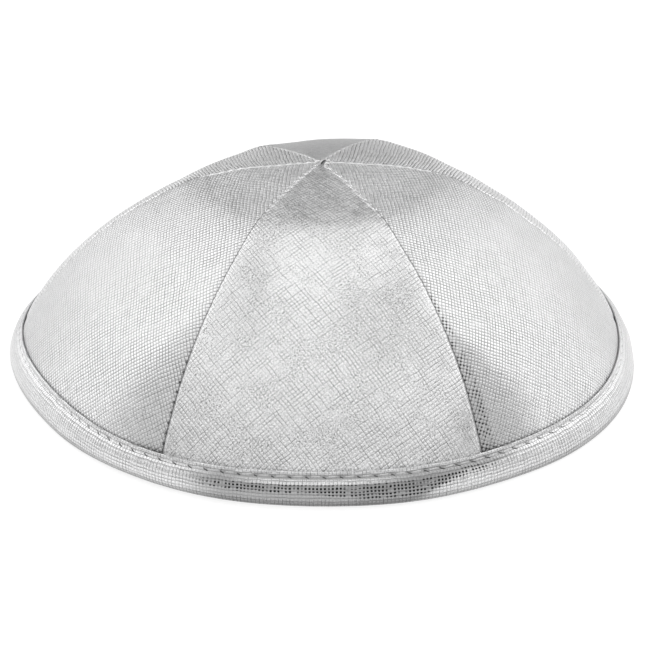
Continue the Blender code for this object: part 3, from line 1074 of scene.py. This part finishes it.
# The lengths of thread that close the crown, and a near-black length between them that is a painted
# shadow, in metres from its tip, each turned by some degrees from +X
KNOT = [
    {"x": -0.0014, "y": -0.0012, "length": 0.0016, "turn": 28, "thick": 0.00042},
    {"x": 0.0012, "y": -0.0026, "length": 0.0015, "turn": 24, "thick": 0.00040},
    {"x": 0.0018, "y": -0.0002, "length": 0.0011, "turn": 10, "thick": 0.00030},
]
TIP_SHADOW = [
    {"x": 0.0003, "y": -0.0023, "length": 0.0030, "turn": 66, "thick": 0.00026},
]
TIP_LIFT = 0.0003       # how far the knot lies above the crown's tip


def tip_threads(rows):
    """Short lengths that lie across the crown's tip."""
    top = Vector(placed(0.0, 0.0, BAND_HEIGHT + CROWN_RISE + TIP_LIFT))
    pieces = []
    for row in rows:
        start = top + Vector((row["x"], row["y"], 0.0))
        turn = radians(row["turn"])
        end = start + Vector((cos(turn), sin(turn), 0.0)) * row["length"]
        pieces.append(capsule(start, end, row["thick"], 10, Vector((0, 0, -row["thick"]))))
    return pieces


# Light and camera

# Soft boxes: where they are, what they are aimed at, their size, how bright they look from the cap, and how
# far they are turned in their own plane, in degrees
SIDE_BOX = {"towards": (0, 0, 0.03), "wide": 0.9, "long": 0.8, "brightness": 1.3}
LIGHTS = {
    "top_box": {"place": (0.0, -0.465, 0.80), "towards": (0, -0.365, 0.03), "wide": 1.6, "long": 1.92,
                "brightness": 0.725, "turn": -10},
    "left_box": {"place": (-0.80, 0.45, 0.55), **SIDE_BOX},
    "right_box": {"place": (0.80, 0.45, 0.55), **SIDE_BOX},
}

# The room's soft light, by how far to the side it comes from, and its weakening in front
ROOM_LIGHT = (0.04, 0.48, 0.22, 0.50)
ROOM_FRONT = (-0.2, -0.7, 1.0, 0.7)

FLOOR_REACH = 20.0
FLOOR_DROP = 0.0001     # how far below the rim the floor is, so that the two never touch
FLOOR_GREY = 0.4
FLOOR_GLOW = 0.74


def area_light(name, place, towards, wide, long, brightness, turn=0):
    light = bpy.data.lights.new(name, "AREA")
    light.shape = "RECTANGLE"
    light.size = wide
    light.size_y = long
    light.energy = brightness * wide * long * pi
    item = added(name, light)
    item.location = place
    item.rotation_euler = (Vector(towards) - Vector(place)).to_track_quat("-Z", "Y").to_euler()
    item.rotation_euler.rotate_axis("Z", radians(turn))


def set_studio():
    scene = bpy.context.scene
    scene.view_settings.view_transform = "Standard"
    world = bpy.data.worlds.new("studio")
    world.use_nodes = True
    tree = world.node_tree
    looking = tree.nodes.new("ShaderNodeTexCoord")
    ways = tree.nodes.new("ShaderNodeSeparateXYZ")
    tree.links.new(looking.outputs["Generated"], ways.inputs[0])
    background = tree.nodes["Background"]
    background.inputs["Color"].default_value = (1.0, 1.0, 1.0, 1.0)
    strength = ramped(abs(Value(tree, ways.outputs[0])), *ROOM_LIGHT)
    in_front = ramped(Value(tree, ways.outputs[1]), *ROOM_FRONT)
    wired(background.inputs["Strength"], strength * in_front)
    scene.world = world
    for name, light in LIGHTS.items():
        area_light(name, **light)


def make_floor():
    material, _, shader = new_material("floor_white")
    shader.inputs["Base Color"].default_value = (FLOOR_GREY, FLOOR_GREY, FLOOR_GREY, 1.0)
    shader.inputs["Roughness"].default_value = 0.9
    shader.inputs["Emission Color"].default_value = (1.0, 1.0, 1.0, 1.0)
    shader.inputs["Emission Strength"].default_value = FLOOR_GLOW
    signs = ((-1, -1), (1, -1), (1, 1), (-1, 1))
    corners = np.array([[x * FLOOR_REACH, y * FLOOR_REACH, -FLOOR_DROP] for x, y in signs])
    floor = mesh_object("floor", corners, [[0, 1, 2, 3]], {}, material)


# The photo's camera, solved from the cap's outline and seams
CAMERA_DISTANCE = 0.477
CAMERA_ELEVATION = 0.4714   # in radians
FOCAL_PIXELS = 1629.8
IMAGE_PIXELS = 650
SENSOR = 36.0
SHIFT_RIGHT = 4.92 / IMAGE_PIXELS
SHIFT_UP = -8.71 / IMAGE_PIXELS


def set_camera():
    camera = bpy.data.cameras.new("camera")
    camera.sensor_width = SENSOR
    camera.lens = SENSOR * FOCAL_PIXELS / IMAGE_PIXELS
    camera.shift_x = SHIFT_RIGHT
    camera.shift_y = SHIFT_UP
    camera.clip_start = 0.01
    camera.clip_end = 20
    item = added("camera", camera)
    target = Vector((-MIDDLE_X, -MIDDLE_Y, BAND_HEIGHT))
    back = Vector((0, -cos(CAMERA_ELEVATION), sin(CAMERA_ELEVATION)))
    item.location = target + back * CAMERA_DISTANCE
    item.rotation_euler = (-back).to_track_quat("-Z", "Y").to_euler()
    bpy.context.scene.camera = item


def main():
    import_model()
    for name, panel in PANELS.items():
        kind = panel["cloth"]
        cloth = panel_material(name + "_weave", CLOTHS[kind], panel.get("front_seam_side"), kind == "front")
        item, width, length = make_panel(name + "_cloth", panel, cloth)
        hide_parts(name)
    band, cut_width, length = make_band(band_material("band_weave", CLOTHS["band"]))
    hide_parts("rim_band")
    make_thread("band_stitches", band_stitches(), thread_material("band_thread", 0.85))
    make_thread("tip_knot", tip_threads(KNOT), thread_material("knot_thread", 0.9))
    # A near-black length of thread, painted shadow between the knot's threads
    make_thread("tip_shadow", tip_threads(TIP_SHADOW), thread_material("tip_shadow_dark", 0.04))
    set_studio()
    make_floor()
    set_camera()


main()
